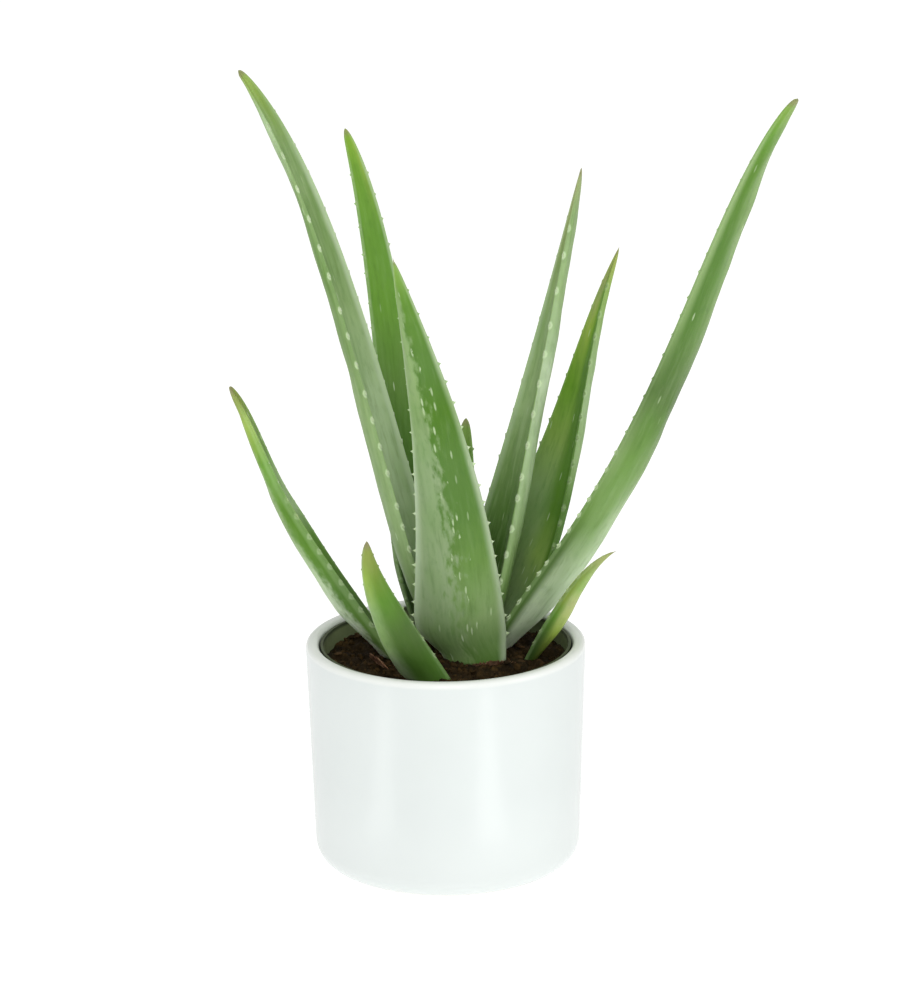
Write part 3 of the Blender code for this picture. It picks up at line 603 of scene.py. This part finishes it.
    # painted shadow: a dark line just inside one margin, beside its teeth
    if "seam" in look:
        seamSide, seamGreen, seamPlace, seamHalf, seamStrength = look["seam"]
        shadowLine = add("Math", [inward, seamPlace], **minus)
        shadowLine = add("Math", [shadowLine], operation="ABSOLUTE")
        shadowLine = add("MapRange", {0: shadowLine, 1: seamHalf, 2: 0.3 * seamHalf, 4: seamStrength}, **soft)
        mine = add("Math", [share, seamSide], **times)
        mine = add("MapRange", [mine, 0.1, 0.3])
        mine = add("Math", [mine, isLower], **minus, use_clamp=True)
        shadowLine = add("Math", [shadowLine, mine], **times)
        colour = add("Mix", {0: shadowLine, 6: colour, 7: tone(greens[seamGreen])}, **blend)
    hornMinus, hornPlus, hornEnd = look["horn"]
    hornHere = add("MapRange", {0: isPlus, 3: hornMinus, 4: hornPlus})
    fading = add("MapRange", [t, hornEnd + 0.1, hornEnd - 0.1])
    hornHere = add("Math", [hornHere, fading], **times)
    dashAlong = add("Math", [toothNear, form["hornAlong"]], **over)
    dash = add("Math", [inward, 1.0 / form["hornInward"], dashAlong], **timesPlus)
    dash = add("MapRange", [dash, 1.0, 0.45], **soft)
    onTooth = add("Math", [toothNear, -0.5], operation="LESS_THAN")
    dash = add("Math", [dash, onTooth], operation="MAXIMUM")
    dash = add("Math", [dash, hornHere], **times)
    colour = add("Mix", {0: dash, 6: colour, 7: tone(marks["horn"])}, **blend)

    # the last centimetres turn yellow and the last millimetres dry out
    left = add("Math", [length, along], **minus)
    for (start, full), strength, mark in (
            (form["yellow"], 0.6, look["tip"]), (form["dried"], look["dry"], marks["dry"])):
        amount = add("MapRange", {0: left, 1: start, 2: full, 4: strength}, **soft)
        colour = add("Mix", {0: amount, 6: colour, 7: tone(mark)}, **blend)

    rough = add("MapRange", [grain, 0.3, 0.7, 0.45, 0.58])
    height = add("Math", [streaks, 0.8, fleck], **timesPlus)
    height = add("Math", [grain, 0.25, height], **timesPlus)
    return finishMaterial(skin, colour, rough, 1.4, (height, 0.35, 0.0004), {
        "Specular IOR Level": look["gloss"], "Subsurface Weight": 0.12,
        "Subsurface Radius": (0.6, 1.0, 0.3), "Subsurface Scale": 0.003})


for name, row in leaves.items():
    skin = aloeSkin("aloe_skin_" + name[5:], {**usualLook, **looks[name]}, row["length"])
    buildLeaf(name, {**usualLeaf, **row}, skin)
print("leaves made:", len(leaves))


# A round stoneware pot: slightly tapering wall, rounded foot corner, thick rounded rim.
potForm = dict(height=111.0, rim=67.5, low=64.2, foot=53.0, corner=12.0, mouth=61.3, insideLow=58.5,
               floor=8.0, bead=2.6, insideCorner=8.0, hub=1.0, sides=192)


def arcPoints(centreOut, centreUp, sizeOut, sizeUp, first, last, steps):
    # points on part of an ellipse of a profile
    angle = np.radians(np.linspace(first, last, steps))
    return together(centreOut + sizeOut * np.cos(angle), centreUp + sizeUp * np.sin(angle))


def linePoints(low, high, steps):
    # points between two points of a profile, without those two
    share = np.linspace(0.0, 1.0, steps)[1:-1, None]
    return np.asarray(low) * (1.0 - share) + np.asarray(high) * share


def latheGrid(profile, sides):
    # a profile of radius and height turned round the vertical
    angle = turnRound(sides)
    out, up = profile[:, :1], profile[:, 1:]
    return together(out * np.cos(angle), out * np.sin(angle), up)


def buildPot(material):
    # outside from the middle of the foot up, over the rim and down inside to the middle of the floor
    form = potForm
    bead, turn, floor, hub = form["bead"], form["insideCorner"], form["floor"], form["hub"]
    corner = arcPoints(form["foot"], form["corner"], form["low"] - form["foot"], form["corner"], -90, 0, 18)
    rimOut = arcPoints(form["rim"] - bead, form["height"] - bead, bead, bead, 0, 90, 9)
    rimIn = arcPoints(form["mouth"] + bead, form["height"] - bead, bead, bead, 90, 180, 9)
    inside = arcPoints(form["insideLow"] - turn, floor + turn, turn, turn, 0, -90, 10)
    profile = np.vstack([
        [[hub, 0.0]], linePoints((hub, 0.0), corner[0], 12), corner, linePoints(corner[-1], rimOut[0], 24),
        rimOut, rimIn[1:], linePoints(rimIn[-1], inside[0], 24), inside,
        linePoints(inside[-1], (hub, floor), 8), [[hub, floor]]])
    points, faces = closedMesh(latheGrid(profile, form["sides"]), [0, 0, 0], [0, 0, floor])
    return addPiece("glazed_pot", points, faces, material, "pot")


def whiteGlaze():
    # white-glazed stoneware, dipped and fired: a clear glassy coat over a cool white body, with faint waves
    # of 30 mm and specks of 1 mm, painted lighter on the rim and near the foot as painted light; the foot
    # itself is bare and rough; heights in metres
    glaze, add = newMaterial("white_glazed_stoneware")
    spot = add("TexCoord", output=3)
    height = add("SeparateXYZ", [spot], 2)
    pool = add("TexNoise", {"Vector": spot, "Scale": 30.0, "Detail": 2.0})
    specks = add("TexNoise", {"Vector": spot, "Scale": 900.0, "Detail": 1.0})
    colour = add("Mix", {0: pool, 6: tone("d9dfdd"), 7: tone("dde3e1")}, **blend)
    # painted light: the glaze whitened along the rim
    rim = add("MapRange", {0: height, 1: 0.1075, 2: 0.110, 4: 0.9}, **soft)
    colour = add("Mix", {0: rim, 6: colour, 7: tone("f4f7f2")}, **blend)
    # painted light: the glaze whitened toward the foot, against the shade near the floor
    thick = add("MapRange", {0: height, 1: 0.055, 2: 0.012, 4: 0.35}, **soft)
    colour = add("Mix", {0: thick, 6: colour, 7: tone("eef3f1")}, **blend)
    bare = add("MapRange", [height, 0.0006, 0.0002])
    colour = add("Mix", {0: bare, 6: colour, 7: tone("d0c8b6")}, **blend)
    rough = add("MapRange", {0: bare, 3: 0.25, 4: 0.85})
    wave = add("Math", [specks, 0.02, pool], **timesPlus)
    return finishMaterial(glaze, colour, rough, 1.5, (wave, 0.25, 0.0003))


buildPot(whiteGlaze())
print("pot made")


def mouldedPlastic():
    # olive-grey polypropylene, injection moulded: half matt with a mould grain of 1.4 mm, dusty in patches
    # of 22 mm, and darkened at its top edge as painted shade
    plastic, add = newMaterial("moulded_polypropylene")
    spot = add("TexCoord", output=3)
    grain = add("TexNoise", {"Vector": spot, "Scale": 700.0, "Detail": 2.0})
    dust = add("TexNoise", {"Vector": spot, "Scale": 45.0, "Detail": 4.0})
    dusty = add("MapRange", [dust, 0.35, 0.7], **soft)
    colour = add("Mix", {0: dusty, 6: tone("68724c"), 7: tone("8a956c")}, **blend)
    height = add("SeparateXYZ", [spot], 2)
    # painted shade: the top edge darkened
    brimShade = add("MapRange", [height, 0.1072, 0.1085])
    colour = add("Mix", {0: brimShade, 6: colour, 7: tone("4a5238")}, **blend)
    rough = add("MapRange", {0: dust, 3: 0.6, 4: 0.8})
    return finishMaterial(plastic, colour, rough, 1.49, (grain, 0.2, 0.0002))


def stemSkin():
    # short woody aloe stem as it grew: dull, ringed every 3 mm by the scars of old leaves
    stem, add = newMaterial("aloe_stem")
    spot = add("TexCoord", output=3)
    rings = add("TexWave", {"Vector": spot, "Scale": 105.0, "Distortion": 3.0, "Detail": 3.0}, 1,
                bands_direction="Z")
    colour = add("Mix", {0: rings, 6: tone("6b5a3c"), 7: tone("9a9068")}, **blend)
    return finishMaterial(stem, colour, 0.75, 1.45, (rings, 0.6, 0.0006))


# the grow pot and the stem keep their CAD meshes and get their finish
for name, material in (("grow_pot", mouldedPlastic()), ("stem", stemSkin())):
    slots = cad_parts[name].data.materials
    for place in range(len(slots)):
        slots[place] = material
print("grow pot and stem finished")


# Peat mix that fills the grow pot, a little lumpy on top, with loose crumbs and bark chips on it.
# heap: middle, reach and height of a low heap round the plant; bevel and inset: the lower corner of its wall
soilForm = dict(top=101.0, bottom=9.9, growLow=51.0, growTop=60.6, growFloor=8.3, growHeight=101.1, wall=1.6,
                heap=(6.0, 4.0, 32.0, 2.2), bevel=3.0, inset=4.6, rings=84, sides=220,
                crumbs=520, chips=60, clear=2.5, crumbSides=6, seed=5)


def soilRadius(height):
    # the inside of the tapering grow pot, less a thin gap
    form = soilForm
    share = (height - form["growFloor"]) / form["growHeight"]
    return form["growLow"] + (form["growTop"] - form["growLow"]) * share - form["wall"]


def soilHeight(x, y):
    # random lumps of four sizes, on the heap
    flat = together(x, y)
    lumps = ripple(flat, 26.0, 3) * 0.8 + ripple(flat, 9.0, 4) * 0.6
    lumps += np.abs(ripple(flat, 4.0, 6)) * 0.5 + ripple(flat, 2.0, 8) * 0.18
    right, back, reach, high = soilForm["heap"]
    return soilForm["top"] - 0.6 + lumps + high * np.exp(-((x - right)**2 + (y - back)**2) / reach**2)


def buildSoil(material):
    # rings of points shrinking to the middle at the height of the lumps, above a plain wall
    form = soilForm
    angle = turnRound(form["sides"])
    reach = soilRadius(form["top"]) * np.linspace(1.0, 0.02, form["rings"])[:, None]
    x, y = reach * np.cos(angle), reach * np.sin(angle)
    top = together(x, y, soilHeight(x, y))
    top[0, :, 2] = np.minimum(top[0, :, 2], form["top"] + 1.0)  # its lumps stay low at the wall
    corner = form["bottom"] + form["bevel"]
    low = np.array([[form["growLow"] - form["inset"], form["bottom"]], [soilRadius(corner), corner]])
    grid = np.vstack([latheGrid(low, form["sides"]), top])
    middle = soilHeight(np.array(0.0), np.array(0.0))
    points, faces = closedMesh(grid, [0, 0, form["bottom"]], [0, 0, middle])
    return addPiece("potting_mix", points, faces, material, "soil")


def buildCrumbs(name, count, low, high, flat, seed, material):
    # balls of three rings, each dented, squashed, tilted and spun by chance, strewn evenly over the soil
    chance = np.random.default_rng(seed)
    sides = soilForm["crumbSides"]
    reach = (soilRadius(soilForm["top"]) - soilForm["clear"]) * np.sqrt(chance.uniform(0, 1, count))
    bearing = chance.uniform(0, 2 * np.pi, count)
    size = chance.uniform(low, high, count) * chance.uniform(0.5, 1.0, count)
    x, y = reach * np.cos(bearing), reach * np.sin(bearing)
    rise = np.linspace(-1.0, 1.0, 5)[1:-1] * np.pi / 2
    profile = together(np.cos(rise), np.sin(rise))
    ball = np.vstack([latheGrid(profile, sides).reshape(-1, 3), [0, 0, -1], [0, 0, 1]])
    squash = [np.ones(count), chance.uniform(0.35, 0.9, count), flat * chance.uniform(0.7, 1.3, count)]
    dents = 1.0 + chance.uniform(-0.28, 0.28, (count, len(ball), 1))
    a, b, c = np.moveaxis(ball * dents * size[:, None, None] * together(*squash)[:, None], -1, 0)
    tilt, spin = chance.normal(0.0, 0.35, (count, 1)), chance.uniform(0, 2 * np.pi, (count, 1))
    a, c = a * np.cos(tilt) + c * np.sin(tilt), c * np.cos(tilt) - a * np.sin(tilt)
    a, b = a * np.cos(spin) - b * np.sin(spin), a * np.sin(spin) + b * np.cos(spin)
    bed = soilHeight(x, y) + size * flat * 0.3
    points = together(a + x[:, None], b + y[:, None], c + bed[:, None])
    faces = [[corner + number * len(ball) for corner in face]
             for number in range(count) for face in closedFaces(3, sides)]
    shades = np.repeat(chance.uniform(0, 1, count), len(ball))
    return addPiece(name, points.reshape(-1, 3), faces, material,
                    attributes={"crumbShade": together(shades, shades, shades)}, smooth=False)


def soilMix(name, dark, light, bits):
    # peat and composted bark, damp and loose: matt, near-black crumbs of 6 mm and 2 mm with rusty fibres
    mix, add = newMaterial(name)
    spot = add("TexCoord", output=3)
    clods = add("TexNoise", {"Vector": spot, "Scale": 160.0, "Detail": 5.0, "Roughness": 0.65})
    cells = add("TexVoronoi", {"Vector": spot, "Scale": 420.0}, 0)
    shade = add("Attribute", output=2, attribute_name="crumbShade")
    stops = [(0.3, tone(dark)), (0.55, tone(light)), (0.78, tone(bits))]
    colour = add("ValToRGB", [clods], stops=stops)
    part = add("Math", [shade, 0.4], **times)
    colour = add("Mix", {0: part, 6: colour, 7: tone(bits)}, **blend)
    height = add("Math", [clods, cells], operation="ADD")
    return finishMaterial(mix, colour, 0.9, 1.4, (height, 0.9, 0.001), {"Specular IOR Level": 0.2})


peat = soilMix("peat_potting_mix", "150f06", "2e2210", "553f1e")
bark = soilMix("composted_bark", "24190c", "3f2e1b", "5c4629")
buildSoil(peat)
buildCrumbs("soil_crumbs", soilForm["crumbs"], 0.7, 2.4, 0.75, soilForm["seed"], peat)
buildCrumbs("bark_chips", soilForm["chips"], 1.8, 4.0, 0.3, soilForm["seed"] + 1, bark)
print("soil made")


# Dry remains of old leaves: curled strips on arcs, leaning outward.
scaleForms = {
    "dry_scale_left": dict(centre=(6, 10), radius=42.5, first=198, last=219, height=7.0, lean=28),
    "dry_scale_front": dict(centre=(15, 31), radius=44.5, first=266, last=294, height=4.6, lean=32),
}


def buildScale(name, form, material):
    # a leaning wall on an arc whose ends taper as a sine and whose upper edge is torn by a random wave
    steps, levels, wall = 90, 12, 0.5
    share = np.linspace(0.0, 1.0, steps)[:, None]
    rise = np.linspace(0.0, 1.0, levels)[None, :]
    reach, seed = share * 60.0, len(name)
    torn = 1.0 - 0.22 * np.abs(ripple(reach, 9.0, seed)) - 0.1 * np.abs(ripple(reach, 2.5, seed + 1))
    height = form["height"] * np.sin(np.pi * (0.04 + 0.92 * share))**0.5 * np.clip(torn[:, None], 0.3, 1.0)
    angle = np.radians(form["first"] + (form["last"] - form["first"]) * share)
    lean = math.tan(math.radians(form["lean"]))
    spot = together(reach, rise * 6.0)
    middle = form["radius"] + height * rise * lean + 0.6 * rise**2
    middle += ripple(spot, 8.0, seed + 2) * 0.25 * rise
    x, y = form["centre"]
    up = leafForm["soilTop"] + leafForm["gap"] + height * rise
    walls = []
    for offset in (0.0, wall):
        radius = middle + offset * (1.0 - 0.5 * rise)
        walls.append(together(x + radius * np.cos(angle), y + radius * np.sin(angle), up))
    grid = np.concatenate([walls[0], walls[1][:, ::-1]], axis=1)
    points, faces = closedMesh(grid, grid[0].mean(axis=0), grid[-1].mean(axis=0))
    return addPiece("papery_" + name, points, faces, material, name)


def paperySkin():
    # dead leaf base, dried in place: thin dull tissue with fibres of 2 mm drawn upward, buff to red-brown
    papery, add = newMaterial("dried_leaf_tissue")
    spot = add("TexCoord", output=3)
    drawn = add("Mapping", {"Vector": spot, "Scale": (1.0, 1.0, 0.2)})
    fibre = add("TexNoise", {"Vector": drawn, "Scale": 500.0, "Detail": 4.0})
    stain = add("TexNoise", {"Vector": spot, "Scale": 120.0, "Detail": 3.0})
    stops = [(0.3, tone("6b4530")), (0.5, tone("956a4e")), (0.72, tone("c2a07e"))]
    colour = add("ValToRGB", [fibre], stops=stops)
    stained = add("MapRange", {0: stain, 1: 0.65, 2: 0.35, 4: 0.6}, **soft)
    colour = add("Mix", {0: stained, 6: colour, 7: tone("4f3120")}, **blend)
    return finishMaterial(papery, colour, 0.75, 1.45, (fibre, 0.7, 0.0003))


driedTissue = paperySkin()
for name, form in scaleForms.items():
    buildScale(name, form, driedTissue)
print("dry remains made")


# White room with soft boxes: the camera's sizes in millimetres, those of the floor and the lights in metres,
# angles in degrees, power in watts. Bearings count from the camera's side toward +X.
studio = dict(world=0.6, paper="bcbcbb", floorGlow=0.72, floorSize=9.0, distance=2600.0, elevation=16.8,
              aim=(6.65, 0.0, 181.2), viewHeight=479.0, sensor=36.0, roll=-0.6)
softBoxes = {  # bearing, height, distance and size, power
    "soft_box_right": (70.0, 0.9, 2.2, (0.7, 1.5), 6.0),
    "floor_strip_right": (30.0, 0.001, 0.34, (0.055, 0.42), 0.135),
    "floor_strip_left": (-47.0, 0.001, 0.34, (0.055, 0.42), 0.1),
    "soft_box_front": (0.0, 1.5, 2.4, (1.4, 1.0), 14.0),
    "soft_box_top": (-10.0, 2.3, 0.7, (1.4, 1.4), 7.0),
}


def buildFloor():
    # a plain white sweep that glows a little, so that it stays white beside the pot
    reach = studio["floorSize"]
    corners = [(-reach, -reach), (reach, -reach), (reach, reach), (-reach, reach)]
    mesh = bpy.data.meshes.new("studio_floor")
    mesh.from_pydata([(x, y, -0.0003) for x, y in corners], [], [(0, 1, 2, 3)])
    paper, _ = newMaterial("white_paper_sweep")
    glow = {"Emission Color": tone("ffffff"), "Emission Strength": studio["floorGlow"]}
    mesh.materials.append(finishMaterial(paper, tone(studio["paper"]), 0.9, 1.5, more=glow))
    addObject("studio_floor", mesh)


def facing(side, above, back, place):
    # the matrix of an object at a place whose own axes point to its side, above it and out of its back
    axes = Matrix(together(side, above, back).tolist())
    return Matrix.Translation(place.tolist()) @ axes.to_4x4()


def softLight(name, bearing, height, distance, size, power):
    # a rectangular soft box that faces the plant, 200 mm up; one at floor height lies there and faces up
    angle = math.radians(bearing)
    place = np.array([math.sin(angle) * distance, -math.cos(angle) * distance, height])
    light = bpy.data.lights.new(name, "AREA")
    light.shape = "RECTANGLE"
    light.size, light.size_y = size
    light.energy = power
    back = np.array([0.0, 0.0, -1.0]) if height < 0.01 else place - np.array([0.0, 0.0, 0.2])
    back /= np.linalg.norm(back)
    side = np.array([math.cos(angle), math.sin(angle), 0.0])
    addObject(name, light).matrix_world = facing(side, np.cross(back, side), back, place)


def buildCamera():
    # from the front and a little above, far off so that the lines stay almost parallel
    up, roll = math.radians(studio["elevation"]), math.radians(studio["roll"])
    forward = np.array([0.0, math.cos(up), -math.sin(up)])
    right, upward = np.array([1.0, 0.0, 0.0]), np.array([0.0, math.sin(up), math.cos(up)])
    side = right * math.cos(roll) + upward * math.sin(roll)
    above = upward * math.cos(roll) - right * math.sin(roll)
    data = bpy.data.cameras.new("front_camera")
    data.sensor_fit = "VERTICAL"
    data.sensor_height = studio["sensor"]
    data.lens = studio["sensor"] * studio["distance"] / studio["viewHeight"]
    data.clip_end = 60.0
    place = np.array(studio["aim"]) - forward * studio["distance"]
    scene.camera = addObject("front_camera", data)
    scene.camera.matrix_world = facing(side, above, -forward, place * mm)


def buildWorld():
    world = bpy.data.worlds.new("white_room")
    world.use_nodes = True
    backdrop = world.node_tree.nodes["Background"]
    backdrop.inputs[0].default_value = tone("ffffff")
    backdrop.inputs[1].default_value = studio["world"]
    scene.world = world


buildFloor()
buildWorld()
buildCamera()
for name, settings in softBoxes.items():
    softLight(name, *settings)
scene.view_settings.view_transform = "Standard"
print("floor, lights and camera made")
